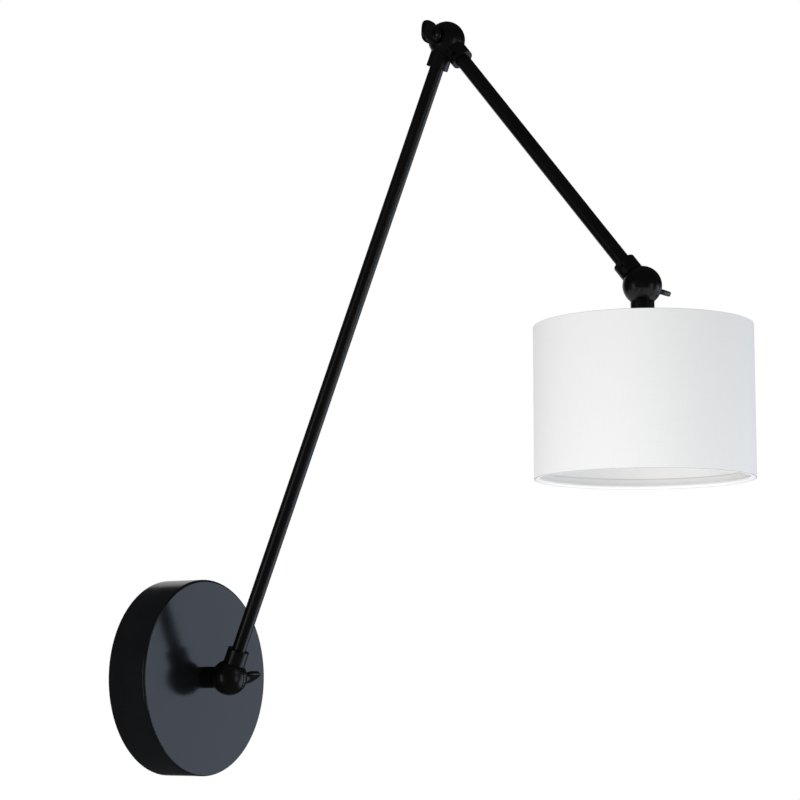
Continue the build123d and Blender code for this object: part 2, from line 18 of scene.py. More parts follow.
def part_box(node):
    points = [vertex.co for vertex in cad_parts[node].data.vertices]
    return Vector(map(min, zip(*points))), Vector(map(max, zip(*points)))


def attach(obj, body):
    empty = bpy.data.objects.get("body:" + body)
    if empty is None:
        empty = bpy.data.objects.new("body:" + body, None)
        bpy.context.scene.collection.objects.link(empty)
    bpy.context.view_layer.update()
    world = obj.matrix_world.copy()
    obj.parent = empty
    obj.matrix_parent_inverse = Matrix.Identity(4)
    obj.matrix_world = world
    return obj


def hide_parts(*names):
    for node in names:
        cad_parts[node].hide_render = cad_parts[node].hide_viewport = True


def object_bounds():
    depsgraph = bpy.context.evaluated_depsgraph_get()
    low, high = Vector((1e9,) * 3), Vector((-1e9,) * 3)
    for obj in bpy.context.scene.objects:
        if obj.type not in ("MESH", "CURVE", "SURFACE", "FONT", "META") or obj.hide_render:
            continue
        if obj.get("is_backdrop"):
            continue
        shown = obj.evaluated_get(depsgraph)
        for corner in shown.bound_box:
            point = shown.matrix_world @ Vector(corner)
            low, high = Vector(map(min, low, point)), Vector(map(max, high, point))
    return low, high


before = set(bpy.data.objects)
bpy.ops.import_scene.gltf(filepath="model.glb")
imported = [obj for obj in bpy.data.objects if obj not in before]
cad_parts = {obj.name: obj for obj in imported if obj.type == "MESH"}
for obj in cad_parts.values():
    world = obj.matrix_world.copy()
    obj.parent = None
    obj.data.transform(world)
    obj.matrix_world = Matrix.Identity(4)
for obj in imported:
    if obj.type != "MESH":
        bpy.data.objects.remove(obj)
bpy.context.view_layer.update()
LOG = logging.getLogger("wall_lamp")
MM = 0.001
FULL_TURN = 2 * math.pi
UP = Vector((0.0, 0.0, 1.0))
MERGE_DISTANCE = 0.002 * MM

Colour = tuple[float, float, float]
Limits = tuple[float, float]
Profile = list[tuple[float, float]]
Number = Union[int, float, "Signal"]

WHITE: Colour = (1.0, 1.0, 1.0)
ORIGIN: Colour = (0.0, 0.0, 0.0)


class Slot(Enum):
    """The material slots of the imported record."""

    POWDER_COAT = "black_powder_coat"
    ZINC = "zinc_plated_steel"
    BLACK_OXIDE = "black_oxide_steel"
    BRASS = "brass_fittings"
    STEEL = "steel_screw"
    FABRIC = "white_laminated_fabric"
    ENAMELLED_WIRE = "white_enamelled_wire"
    BLACK_PLASTIC = "black_thermoplastic"
    CERAMIC = "white_ceramic"
    CREAM_PLASTIC = "cream_plastic"
    SHEATH = "white_lead_sheath"
    BROWN = "brown_insulation"
    BLUE = "blue_insulation"
    EARTH = "green_yellow_insulation"


# ---------------------------------------------------------------- shader maths


class Signal:
    """A number that varies over a surface. Python operators on it add Math nodes."""

    def __init__(self, graph: "Graph", socket: bpy.types.NodeSocket) -> None:
        """Wraps a socket.

        Args:
            graph: the graph that the socket belongs to.
            socket: an output that gives a number.
        """
        self.graph = graph
        self.socket = socket

    def _math(self, operation: str, *values: Number) -> "Signal":
        """Adds one Math node.

        Args:
            operation: the node's operation.
            values: what goes into its sockets, in order.

        Returns:
            The node's result.
        """
        node = self.graph.node("ShaderNodeMath", {"operation": operation}, dict(enumerate(values)))
        return Signal(self.graph, node.outputs[0])

    def __add__(self, other: Number) -> "Signal":
        """self + other."""
        return self._math("ADD", self, other)

    def __radd__(self, other: Number) -> "Signal":
        """other + self."""
        return self._math("ADD", other, self)

    def __sub__(self, other: Number) -> "Signal":
        """self - other."""
        return self._math("SUBTRACT", self, other)

    def __rsub__(self, other: Number) -> "Signal":
        """other - self."""
        return self._math("SUBTRACT", other, self)

    def __mul__(self, other: Number) -> "Signal":
        """self * other."""
        return self._math("MULTIPLY", self, other)

    def __rmul__(self, other: Number) -> "Signal":
        """other * self."""
        return self._math("MULTIPLY", other, self)

    def sine(self) -> "Signal":
        """The sine of an angle in radians."""
        return self._math("SINE", self)

    def over(self, limit: float) -> "Signal":
        """1 where self is above the limit, 0 elsewhere."""
        return self._math("GREATER_THAN", self, limit)

    def bearing(self, across: "Signal") -> "Signal":
        """The angle of the direction (across, self), in radians."""
        return self._math("ARCTAN2", self, across)


class Graph:
    """The nodes of one material or world."""

    def __init__(self, owner: Union[bpy.types.Material, bpy.types.World]) -> None:
        """Empties the owner's nodes.

        Args:
            owner: a new material or world.
        """
        self.owner = owner
        self.owner.use_nodes = True
        self.tree = self.owner.node_tree
        self.tree.nodes.clear()

    def node(self, kind: str, settings: Optional[dict[str, Any]] = None,
             sockets: Optional[dict[Union[int, str], Any]] = None) -> bpy.types.Node:
        """Adds a node, its settings first and then its sockets.

        Args:
            kind: the node's type.
            settings: its properties; "stops" gives a ramp's (position, colour) pairs.
            sockets: values, Signals or output sockets, by input name or number.

        Returns:
            The new node.
        """
        node = self.tree.nodes.new(kind)
        for key, value in (settings or {}).items():
            if key == "stops":
                self._set_stops(node.color_ramp, value)
            else:
                setattr(node, key, value)
        for key, value in (sockets or {}).items():
            source = value.socket if isinstance(value, Signal) else value
            if isinstance(source, bpy.types.NodeSocket):
                self.tree.links.new(source, node.inputs[key])
            else:
                node.inputs[key].default_value = source
        return node

    @staticmethod
    def _set_stops(ramp: bpy.types.ColorRamp, stops: Sequence[tuple[float, Colour]]) -> None:
        """Gives a colour ramp its stops.

        Args:
            ramp: the ramp to change.
            stops: (position, colour) pairs.
        """
        while len(ramp.elements) < len(stops):
            ramp.elements.new(1.0)
        for element, (position, colour) in zip(ramp.elements, stops):
            element.position = position
            element.color = (*colour, 1.0)

    def place(self, stretch: Colour = WHITE, shift: Colour = ORIGIN) -> bpy.types.NodeSocket:
        """Object coordinates, moved and then stretched.

        Args:
            stretch: scale along x, y and z.
            shift: where the pattern's centre is, in metres.

        Returns:
            The vector.
        """
        coordinates = self.node("ShaderNodeTexCoord").outputs["Object"]
        moved = self.node("ShaderNodeVectorMath", {"operation": "SUBTRACT"}, {0: coordinates, 1: shift})
        return self.node("ShaderNodeMapping", None, {"Vector": moved.outputs[0], "Scale": stretch}).outputs[0]

    def parts_of(self, vector: bpy.types.NodeSocket) -> tuple[Signal, Signal, Signal]:
        """The x, y and z of a vector."""
        split = self.node("ShaderNodeSeparateXYZ", None, {0: vector})
        return tuple(Signal(self, out) for out in split.outputs)

    def noise(self, size: float, detail: float = 2.0,
              vector: Optional[bpy.types.NodeSocket] = None) -> Signal:
        """Soft noise from 0 to 1.

        Args:
            size: about how far apart its lumps are, in metres.
            detail: how many finer layers it has.
            vector: the coordinates, or None for plain object coordinates.

        Returns:
            The noise.
        """
        sockets = {"Vector": vector or self.place(), "Scale": 1 / size, "Detail": detail}
        return Signal(self, self.node("ShaderNodeTexNoise", None, sockets).outputs[0])

    def smooth_step(self, value: Signal, low: float, high: float) -> Signal:
        """0 below low, 1 above high and a smooth rise between."""
        settings = {"interpolation_type": "SMOOTHSTEP"}
        return Signal(self, self.node("ShaderNodeMapRange", settings, {0: value, 1: low, 2: high}).outputs[0])

    def mix(self, factor: Number, first: Any, second: Any) -> bpy.types.NodeSocket:
        """A colour between two colours.

        Args:
            factor: 0 for the first, 1 for the second.
            first: an RGB tuple or a colour socket.
            second: an RGB tuple or a colour socket.

        Returns:
            The mixed colour.
        """
        ends = [(*c, 1.0) if isinstance(c, tuple) else c for c in (first, second)]
        node = self.node("ShaderNodeMix", {"data_type": "RGBA"}, {0: factor, 6: ends[0], 7: ends[1]})
        return node.outputs[2]

    def bump(self, height: Signal, depth: float, strength: float = 1.0) -> bpy.types.NodeSocket:
        """A normal from a height pattern.

        Args:
            height: the pattern, from 0 to 1.
            depth: how high 1 stands over 0, in metres.
            strength: how much of it shows.

        Returns:
            The normal.
        """
        sockets = {"Strength": strength, "Distance": depth, "Height": height}
        return self.node("ShaderNodeBump", None, sockets).outputs[0]

    def surface(self, **sockets: Any) -> bpy.types.Material:
        """Ends the graph in a Principled shader.

        Args:
            sockets: its inputs, with _ for a space in a name.

        Returns:
            The finished material.
        """
        named = {key.replace("_", " "): value for key, value in sockets.items()}
        shader = self.node("ShaderNodeBsdfPrincipled", None, named)
        self.node("ShaderNodeOutputMaterial", None, {"Surface": shader.outputs[0]})
        return self.owner


# ---------------------------------------------------------------- finishes


@dataclass(frozen=True)
class Finish:
    """A named finish. Each kind says how its material is made."""

    name: str
    colour: Colour
    roughness: float

    def material(self) -> bpy.types.Material:
        """The finish's material, made once and then shared."""
        return bpy.data.materials.get(self.name) or self.make(Graph(bpy.data.materials.new(self.name)))

    def make(self, graph: Graph) -> bpy.types.Material:
        """Builds the material.

        Args:
            graph: an empty graph.

        Returns:
            The finished material.
        """
        raise NotImplementedError


@dataclass(frozen=True)
class PowderCoat(Finish):
    """Powder coat: a skin with a slight orange peel, a fine grain and a breath of dust."""

    peel_size: float = 1.6 * MM
    peel_depth: float = 0.012 * MM
    grain_size: float = 0.35 * MM
    grain_share: float = 0.3
    grain_roughness: float = 0.04
    dust: float = 0.35
    dust_size: float = 38 * MM
    dust_limits: Limits = (0.35, 0.75)
    dust_roughness: float = 0.05

    def make(self, graph: Graph) -> bpy.types.Material:
        """Builds the coat. Returns its material."""
        peel = graph.noise(self.peel_size, detail=1.0)
        grain = graph.noise(self.grain_size)
        dusted = graph.smooth_step(graph.noise(self.dust_size, detail=3.0), *self.dust_limits)
        dusty = tuple(c * (1 + self.dust) for c in self.colour)
        return graph.surface(
            Base_Color=graph.mix(dusted, self.colour, dusty),
            Roughness=self.roughness + self.dust_roughness * dusted + self.grain_roughness * grain,
            Specular_IOR_Level=0.5,
            Normal=graph.bump(peel + self.grain_share * grain, self.peel_depth),
        )


@dataclass(frozen=True)
class PlatedMetal(Finish):
    """Bare or plated metal with drawn lines and a dull bloom."""

    bloom: Colour = (0.4, 0.4, 0.4)
    bloom_size: float = 6 * MM
    bloom_limits: Limits = (0.42, 0.72)
    bloom_roughness: float = 0.14
    line_size: float = 0.25 * MM
    line_stretch: Colour = (1.0, 1.0, 0.08)
    line_depth: float = 0.006 * MM
    line_roughness: float = 0.08

    def make(self, graph: Graph) -> bpy.types.Material:
        """Builds the metal. Returns its material."""
        drawn = graph.noise(self.line_size, 3.0, graph.place(self.line_stretch))
        dull = graph.smooth_step(graph.noise(self.bloom_size, detail=4.0), *self.bloom_limits)
        return graph.surface(
            Base_Color=graph.mix(dull, self.colour, self.bloom),
            Metallic=1.0,
            Roughness=self.roughness + self.bloom_roughness * dull + self.line_roughness * drawn,
            Normal=graph.bump(drawn, self.line_depth),
        )


@dataclass(frozen=True)
class Moulding(Finish):
    """Moulded plastic, dipped wire or glaze: fine texture, faint mottling and perhaps a clear gloss."""

    texture_size: float = 0.25 * MM
    texture_depth: float = 0.006 * MM
    mottle: float = 0.08
    gloss: float = 0.0
    gloss_roughness: float = 0.12
    mottle_size: float = 9 * MM
    mottle_roughness: float = 0.1

    def make(self, graph: Graph) -> bpy.types.Material:
        """Builds the moulding. Returns its material."""
        texture = graph.noise(self.texture_size)
        cloudy = graph.noise(self.mottle_size, detail=3.0)
        darker = tuple(c * (1 - self.mottle) for c in self.colour)
        return graph.surface(
            Base_Color=graph.mix(cloudy, darker, self.colour),
            Roughness=self.roughness + self.mottle_roughness * cloudy,
            Coat_Weight=self.gloss,
            Coat_Roughness=self.gloss_roughness,
            Normal=graph.bump(texture, self.texture_depth),
        )


@dataclass(frozen=True)
class StripedInsulation(Finish):
    """Two-colour wire insulation, in slanting bands."""

    second: Colour = (0.75, 0.7, 0.03)
    band: float = 2.4 * MM
    rise: float = 0.5
    wear_size: float = 3 * MM
    wear_roughness: float = 0.1

    def make(self, graph: Graph) -> bpy.types.Material:
        """Builds the insulation. Returns its material."""
        x, y, z = graph.parts_of(graph.place())
        bands = ((x + y + self.rise * z) * (FULL_TURN / self.band)).sine().over(0.0)
        return graph.surface(
            Base_Color=graph.mix(bands, self.colour, self.second),
            Roughness=self.roughness + self.wear_roughness * graph.noise(self.wear_size),
        )


@dataclass(frozen=True)
class Weave(Finish):
    """Plain-woven cotton on a drum: threads run round it and up it, with slubs and a faint unevenness."""

    axis_place: Colour = ORIGIN
    radius: float = 0.07
    thread: float = 0.42 * MM
    thread_depth: float = 0.02 * MM
    thread_shows: float = 0.5
    contrast: float = 0.035
    tone_limits: Limits = (0.3, 0.9)
    crossing_tone: float = 0.25
    crossing_height: float = 0.6
    slub_size: float = 0.7 * MM
    slub_stretch: float = 0.04
    slub_height: float = 0.8
    cloud_size: float = 22 * MM
    cloud_tone: float = 0.1
    cloud_roughness: float = 0.08
    shine: float = 0.25
    sheen: float = 0.12
    sheen_roughness: float = 0.5

    def make(self, graph: Graph) -> bpy.types.Material:
        """Builds the cloth. Returns its material."""
        x, y, z = graph.parts_of(graph.place(shift=self.axis_place))
        around = y.bearing(x) * self.radius
        turns = FULL_TURN / self.thread
        warp = (around * turns).sine()
        weft = (z * turns).sine()
        crossing = 0.5 + 0.5 * (warp * weft)
        flat = graph.node("ShaderNodeCombineXYZ", None, {0: around, 1: z}).outputs[0]
        standing, lying = (
            graph.node("ShaderNodeMapping", None, {0: flat, "Scale": scale}).outputs[0]
            for scale in ((1.0, self.slub_stretch, 1.0), (self.slub_stretch, 1.0, 1.0))
        )
        slubs = 0.5 * (graph.noise(self.slub_size, 2.0, standing) + graph.noise(self.slub_size, 2.0, lying))
        cloudy = graph.noise(self.cloud_size)
        tone = slubs + self.crossing_tone * crossing + self.cloud_tone * cloudy
        shaded = tuple(c * (1 - self.contrast) for c in self.colour)
        height = self.crossing_height * crossing + self.slub_height * slubs
        return graph.surface(
            Base_Color=graph.mix(graph.smooth_step(tone, *self.tone_limits), shaded, self.colour),
            Roughness=self.roughness + self.cloud_roughness * cloudy,
            Specular_IOR_Level=self.shine,
            Sheen_Weight=self.sheen,
            Sheen_Roughness=self.sheen_roughness,
            Normal=graph.bump(height, self.thread_depth, self.thread_shows),
        )


CANOPY_COAT = PowderCoat("canopy_powder_coat", (0.004, 0.0044, 0.0054), 0.13)
ARM_COAT = PowderCoat("arm_powder_coat", (0.002, 0.002, 0.0022), 0.25)
ZINC_PLATE = PlatedMetal("zinc_plate", (0.62, 0.63, 0.64), 0.3, (0.42, 0.43, 0.45))
BLACK_OXIDE = PlatedMetal("black_oxide", (0.05, 0.05, 0.055), 0.34, (0.03, 0.028, 0.026))
BRIGHT_BRASS = PlatedMetal("bright_brass", (0.78, 0.56, 0.26), 0.22, (0.5, 0.34, 0.14))
SCREW_STEEL = PlatedMetal("screw_steel", (0.6, 0.6, 0.6), 0.26, (0.4, 0.39, 0.37))
WHITE_DIP = Moulding("white_dipped_wire", (0.84, 0.84, 0.83), 0.3, 0.6 * MM, 0.008 * MM, 0.04, 0.4)
BLACK_PLASTIC = Moulding("black_lampholder_plastic", (0.018, 0.018, 0.019), 0.42)
GLAZED_CERAMIC = Moulding("glazed_ceramic", (0.86, 0.85, 0.81), 0.3, 1.2 * MM, 0.01 * MM, 0.05, 0.9)
CREAM_PLASTIC = Moulding("cream_block_plastic", (0.82, 0.79, 0.68), 0.4, 0.3 * MM, 0.006 * MM, 0.07)
LEAD_SHEATH = Moulding("lead_sheath", (0.82, 0.82, 0.8), 0.38, 0.5 * MM, 0.004 * MM, 0.05)
BROWN_PVC = Moulding("brown_insulation", (0.16, 0.06, 0.028), 0.36, 0.5 * MM, 0.004 * MM, 0.15)
BLUE_PVC = Moulding("blue_insulation", (0.03, 0.12, 0.45), 0.36, 0.5 * MM, 0.004 * MM, 0.15)
EARTH_PVC = StripedInsulation("earth_insulation", (0.05, 0.32, 0.05), 0.36)


# ---------------------------------------------------------------- mesh work


def arc(centre: tuple[float, float], radius: float, start: float, end: float, count: int) -> Profile:
    """Points along an arc in a profile.

    Args:
        centre: the arc's centre.
        radius: its radius.
        start: its first angle, in degrees from the profile's first axis.
        end: its last angle.
        count: how many steps it has.

    Returns:
        count + 1 points.
    """
    angles = [math.radians(start + (end - start) * i / count) for i in range(count + 1)]
    return [(centre[0] + radius * math.cos(a), centre[1] + radius * math.sin(a)) for a in angles]


class Form:
    """A mesh in the making."""

    def __init__(self) -> None:
        """Starts an empty mesh."""
        self.bm = bmesh.new()

    def turned(self, profile: Profile, centre: Vector, axis: Vector, steps: int = 128,
               angle: float = FULL_TURN, start: Optional[Vector] = None, closed: bool = True,
               rise: float = 0.0) -> "Form":
        """Adds a turned shape, or a thread where it rises as it turns.

        Args:
            profile: (radius, distance along the axis) points, in metres.
            centre: where the distance along the axis is 0.
            axis: the axis to turn about.
            steps: how many steps the turn has.
            angle: how far it turns, in radians.
            start: the direction in which the profile starts, square to the axis.
            closed: whether the profile's last point joins its first.
            rise: how far one full turn moves along the axis.

        Returns:
            The form.
        """
        axis = axis.normalized()
        out = (start or axis.orthogonal()).normalized()
        points = [self.bm.verts.new(centre + out * r + axis * h) for r, h in profile]
        pairs = list(zip(points, points[1:]))
        if closed:
            pairs.append((points[-1], points[0]))
        edges = [self.bm.edges.new(pair) for pair in pairs]
        whole = abs(angle - FULL_TURN) < 1e-6 and rise == 0
        bmesh.ops.spin(self.bm, geom=points + edges, cent=centre, axis=axis, dvec=axis * (rise / steps),
                       angle=angle, steps=steps, use_merge=whole, use_duplicate=False)
        return self

    def cut(self, place: Vector, normal: Vector) -> "Form":
        """Cuts away what lies beyond a plane, on the side its normal points to."""
        geometry = self.bm.verts[:] + self.bm.edges[:] + self.bm.faces[:]
        bmesh.ops.bisect_plane(self.bm, geom=geometry, plane_co=place, plane_no=normal, clear_outer=True)
        return self

    def capped(self) -> "Form":
        """Closes the open loops."""
        loops = [edge for edge in self.bm.edges if edge.is_boundary]
        bmesh.ops.holes_fill(self.bm, edges=loops, sides=0)
        return self

    def finished(self, name: str, crease: float = 32.0) -> bpy.types.Object:
        """Makes the object.

        Args:
            name: the piece's name.
            crease: the angle in degrees above which an edge shades sharp.

        Returns:
            The new object, with its doubles merged and its faces outwards.
        """
        bmesh.ops.remove_doubles(self.bm, verts=self.bm.verts[:], dist=MERGE_DISTANCE)
        bmesh.ops.recalc_face_normals(self.bm, faces=self.bm.faces[:])
        mesh = bpy.data.meshes.new(name)
        self.bm.to_mesh(mesh)
        self.bm.free()
        mesh.shade_smooth()
        mesh.set_sharp_from_angle(angle=math.radians(crease))
        piece = bpy.data.objects.new(name, mesh)
        bpy.context.scene.collection.objects.link(piece)
        return piece


def thickened(piece: bpy.types.Object, wall: float) -> bpy.types.Object:
    """Gives an open shell a wall, half of it on each side.

    Args:
        piece: the shell.
        wall: its thickness, in metres.

    Returns:
        The same object.
    """
    modifier = piece.modifiers.new("wall", "SOLIDIFY")
    modifier.thickness = wall
    modifier.offset = 0.0
    modifier.use_even_offset = True
    return piece


# ---------------------------------------------------------------- sub-assemblies


@dataclass
class SubAssembly:
    """Pieces that move with one body of the lamp."""

    body: str

    def dress(self, finish: Finish, slot: Slot, *nodes: str) -> None:
        """Gives carried-over nodes their finish.

        Args:
            finish: the finish.
            slot: not used.
            nodes: the nodes' names.
        """
        for name in nodes:
            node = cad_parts[name]
            node.data.materials.clear()
            node.data.materials.append(finish.material())
            LOG.info("%s: %s in %s", self.body, name, finish.name)

    def fit(self, piece: bpy.types.Object, finishes: Iterable[Finish], slot: Slot,
            *replaced: str) -> bpy.types.Object:
        """Puts a new piece on the body.

        Args:
            piece: the piece.
            finishes: its finishes, in the order of its material numbers.
            slot: not used.
            replaced: the nodes that it stands for.

        Returns:
            The same object.
        """
        for finish in finishes:
            piece.data.materials.append(finish.material())
        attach(piece, self.body)
        if replaced:
            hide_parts(*replaced)
        LOG.info("%s: %s made, %d faces", self.body, piece.name, len(piece.data.polygons))
        return piece


@dataclass
class WallBase(SubAssembly):
    """Canopy, bracket, wiring and the knuckle half that stands on the canopy."""

    body: str = "wall_base"

    def build(self) -> None:
        """Dresses the wall base."""
        self.dress(CANOPY_COAT, Slot.POWDER_COAT, "canopy")
        self.dress(ARM_COAT, Slot.POWDER_COAT, "base_knuckle_half")
        clamped = ("base_lock_washer", "base_nipple_nut", "base_nipple")
        self.dress(ZINC_PLATE, Slot.ZINC, "wall_bracket", *clamped)
        self.dress(BLACK_OXIDE, Slot.BLACK_OXIDE, "canopy_grub_screws")
        self.dress(BRIGHT_BRASS, Slot.BRASS, "terminal_block_screws", "earth_cup_washer")
        self.dress(SCREW_STEEL, Slot.STEEL, "terminal_block_fixing", "earth_screw")
        self.dress(CREAM_PLASTIC, Slot.CREAM_PLASTIC, "terminal_block")
        self.dress(LEAD_SHEATH, Slot.SHEATH, "canopy_lead")
        self.dress(BROWN_PVC, Slot.BROWN, "live_wire")
        self.dress(BLUE_PVC, Slot.BLUE, "neutral_wire")
        self.dress(EARTH_PVC, Slot.EARTH, "earth_wire")


@dataclass
class Arm(SubAssembly):
    """An arm: its tube, a knuckle half at each end, their grub screws, its lead and its washers."""

    washers: tuple[str, ...] = ()

    def build(self) -> None:
        """Dresses the arm."""
        coated = [f"{self.body}_{part}" for part in ("tube", "lower_half", "upper_half")]
        self.dress(ARM_COAT, Slot.POWDER_COAT, *coated)
        self.dress(BLACK_OXIDE, Slot.BLACK_OXIDE, f"{self.body}_grub_screws", *self.washers)
        self.dress(LEAD_SHEATH, Slot.SHEATH, f"{self.body}_lead")


@dataclass
class Thumbscrew(SubAssembly):
    """A cast clamping screw: a turned hub whose flat paddle grows out of it in soft fillets."""

    node: str = ""
    side: int = 1
    turn: float = 0.0
    hub_radius: float = 5.0 * MM
    hub_end_radius: float = 3.75 * MM
    hub_start: float = 12.8 * MM
    hub_length: float = 5.5 * MM
    hub_edge: float = 0.3 * MM
    hub_end_edge: float = 0.8 * MM
    collar_end: float = 1.6 * MM
    shoulder_drop: float = 0.7 * MM
    shoulder_end: float = 2.1 * MM
    waist_start: float = 3.2 * MM
    shank_radius: float = 2.5 * MM
    shank_end: float = 9.0 * MM
    shank_edge: float = 0.6 * MM
    paddle_width: float = 15.6 * MM
    paddle_length: float = 14.0 * MM
    paddle_root: float = 3.0 * MM
    paddle_thickness: float = 3.4 * MM
    paddle_edge: float = 1.1 * MM
    paddle_edge_steps: int = 4
    paddle_squareness: float = 3.0
    grain: float = 0.3 * MM
    softening: float = 0.5
    softening_rounds: int = 3
    steps: int = 64

    def build(self) -> None:
        """Casts the screw and puts it on its body."""
        low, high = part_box(self.node)
        centre = (low + high) / 2
        outer = low.x if self.side < 0 else high.x
        reach = self.hub_start + self.hub_length + self.paddle_length - self.paddle_root
        centre.x = outer - self.side * reach
        axis = Vector((self.side, 0.0, 0.0))
        form = Form()
        form.turned(self.hub_profile(), centre, axis, self.steps)
        self.add_paddle(form, centre)
        piece = form.finished(f"{self.node}_casting")
        fuse = piece.modifiers.new("cast", "REMESH")
        fuse.mode = "VOXEL"
        fuse.voxel_size = self.grain
        fuse.use_smooth_shade = True
        soften = piece.modifiers.new("soften", "SMOOTH")
        soften.factor = self.softening
        soften.iterations = self.softening_rounds
        self.fit(piece, [ARM_COAT], Slot.POWDER_COAT, self.node)

    def hub_profile(self) -> Profile:
        """The hub's outline, from the shank's tip to the end that the paddle stands on."""
        start, end = self.hub_start, self.hub_start + self.hub_length
        return [
            (0.0, -self.shank_end),
            (self.shank_radius - self.shank_edge, -self.shank_end),
            (self.shank_radius, -self.shank_end + self.shank_edge),
            (self.shank_radius, start),
            (self.hub_radius - self.hub_edge, start),
            (self.hub_radius, start + self.hub_edge),
            (self.hub_radius, start + self.collar_end),
            (self.hub_radius - self.shoulder_drop, start + self.shoulder_end),
            (self.hub_end_radius, start + self.waist_start),
            (self.hub_end_radius, end - self.hub_end_edge),
            (self.hub_end_radius - self.hub_end_edge, end),
            (0.0, end),
        ]

    def add_paddle(self, form: Form, centre: Vector) -> None:
        """Adds the paddle, a crowned oval blade.

        Args:
            form: the casting so far.
            centre: the knuckle ball's centre.
        """
        half_length = (self.paddle_length + self.paddle_root) / 2
        power = self.paddle_squareness
        blade = bmesh.ops.create_circle(form.bm, cap_ends=True, segments=self.steps, radius=1.0)["verts"]
        for vertex in blade:
            angle = math.atan2(vertex.co.y, vertex.co.x)
            bulge = (abs(math.cos(angle)) ** power + abs(math.sin(angle)) ** power) ** (-1 / power)
            vertex.co = Vector((math.cos(angle) * bulge * half_length, -self.paddle_thickness / 2,
                                math.sin(angle) * bulge * self.paddle_width / 2))
        face = blade[0].link_faces[0]
        top = bmesh.ops.extrude_face_region(form.bm, geom=[face])["geom"]
        moved = [v for v in top if isinstance(v, bmesh.types.BMVert)]
        bmesh.ops.translate(form.bm, verts=moved, vec=(0.0, self.paddle_thickness, 0.0))
        every = list(set(blade) | set(moved))
        rims = [e for e in form.bm.edges if e.verts[0] in every and e.verts[1] in every
                and abs(e.verts[0].co.y - e.verts[1].co.y) < 1e-9]
        rounded = bmesh.ops.bevel(form.bm, geom=rims, offset=self.paddle_edge, profile=0.5, affect="EDGES",
                                  segments=self.paddle_edge_steps, material=-1)["verts"]
        every = [v for v in set(every) | set(rounded) if v.is_valid]
        middle = self.hub_start + self.hub_length + self.paddle_length - self.paddle_root - half_length
        place = Matrix.Translation(centre + Vector((self.side * middle, 0.0, 0.0)))
        turned = Matrix.Rotation(math.radians(self.turn), 4, "X")
        bmesh.ops.transform(form.bm, matrix=place @ turned, verts=every)


@dataclass
class Lampholder(SubAssembly):
    """Screw-cap lampholder: dipped cap, threaded skirt, ceramic core and rolled brass thread."""

    body: str = "head"
    lamp_thread_pitch: float = 2.82 * MM
    lamp_thread_depth: float = 0.45 * MM
    lamp_thread_wall: float = 0.3 * MM
    wave_steps: int = 12
    skirt_radius: float = 13.0 * MM
    skirt_thread_pitch: float = 2.0 * MM
    skirt_thread_depth: float = 0.45 * MM
    skirt_thread_sink: float = 0.1 * MM
    skirt_thread_end: float = 1.6 * MM
    foot_share: float = 0.4
    crest_share: float = 0.2
    steps: int = 72

    def build(self) -> None:
        """Makes the threads and dresses the rest."""
        self.rolled_thread()
        self.skirt_thread()
        moulded = ("lampholder_cap", "lampholder_ring_nut", "lampholder_body")
        self.dress(BLACK_PLASTIC, Slot.BLACK_PLASTIC, *moulded)
        self.dress(GLAZED_CERAMIC, Slot.CERAMIC, "lampholder_core")
        self.dress(BRIGHT_BRASS, Slot.BRASS, "lampholder_contact")
        self.dress(ZINC_PLATE, Slot.ZINC, "head_nipple")
        self.dress(LEAD_SHEATH, Slot.SHEATH, "head_lead")
        self.dress(ARM_COAT, Slot.POWDER_COAT, "head_knuckle_half")

    def rolled_thread(self) -> None:
        """The sheet-brass sleeve that the lamp's cap screws into, rolled to a round thread."""
        low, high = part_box("lampholder_thread")
        centre = Vector(((low.x + high.x) / 2, (low.y + high.y) / 2, low.z))
        outer = (high.x - low.x) / 2
        height = self.lamp_thread_depth / 2
        middle = outer - height - self.lamp_thread_wall / 2
        pitch = self.lamp_thread_pitch
        shares = [i / self.wave_steps for i in range(self.wave_steps + 1)]
        profile = [(middle + height * math.cos(FULL_TURN * share), pitch * (share - 1)) for share in shares]
        turns = math.ceil((high.z - low.z) / pitch) + 1
        form = Form()
        form.turned(profile, centre, UP, self.steps * turns, FULL_TURN * turns, None, False, pitch)
        bmesh.ops.remove_doubles(form.bm, verts=form.bm.verts[:], dist=5 * MERGE_DISTANCE)
        form.cut(Vector((0, 0, high.z)), UP)
        form.cut(Vector((0, 0, low.z)), -UP)
        piece = thickened(form.finished("lampholder_rolled_thread", 60.0), self.lamp_thread_wall)
        self.fit(piece, [BRIGHT_BRASS], Slot.BRASS, "lampholder_thread")

    def skirt_thread(self) -> None:
        """The coarse moulded thread that the ring nut runs on, as far as it shows below the nut."""
        low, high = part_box("lampholder_body")
        nut_low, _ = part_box("lampholder_ring_nut")
        start = Vector(((low.x + high.x) / 2, (low.y + high.y) / 2, low.z + self.skirt_thread_end))
        pitch, half = self.skirt_thread_pitch, self.foot_share * self.skirt_thread_pitch
        foot = self.skirt_radius - self.skirt_thread_sink
        crest = self.skirt_radius + self.skirt_thread_depth
        flat = self.crest_share * half
        profile = [(foot, -half), (crest, -flat), (crest, flat), (foot, half)]
        turns = int((nut_low.z - start.z - half) / pitch)
        form = Form().turned(profile, start, UP, self.steps * turns, FULL_TURN * turns, None, True, pitch)
        self.fit(form.capped().finished("lampholder_skirt_thread"), [BLACK_PLASTIC], Slot.BLACK_PLASTIC)


class Rim(Enum):
    """The shade's two rims: which way leads from the rim into the shade."""

    TOP = -1
    BOTTOM = 1


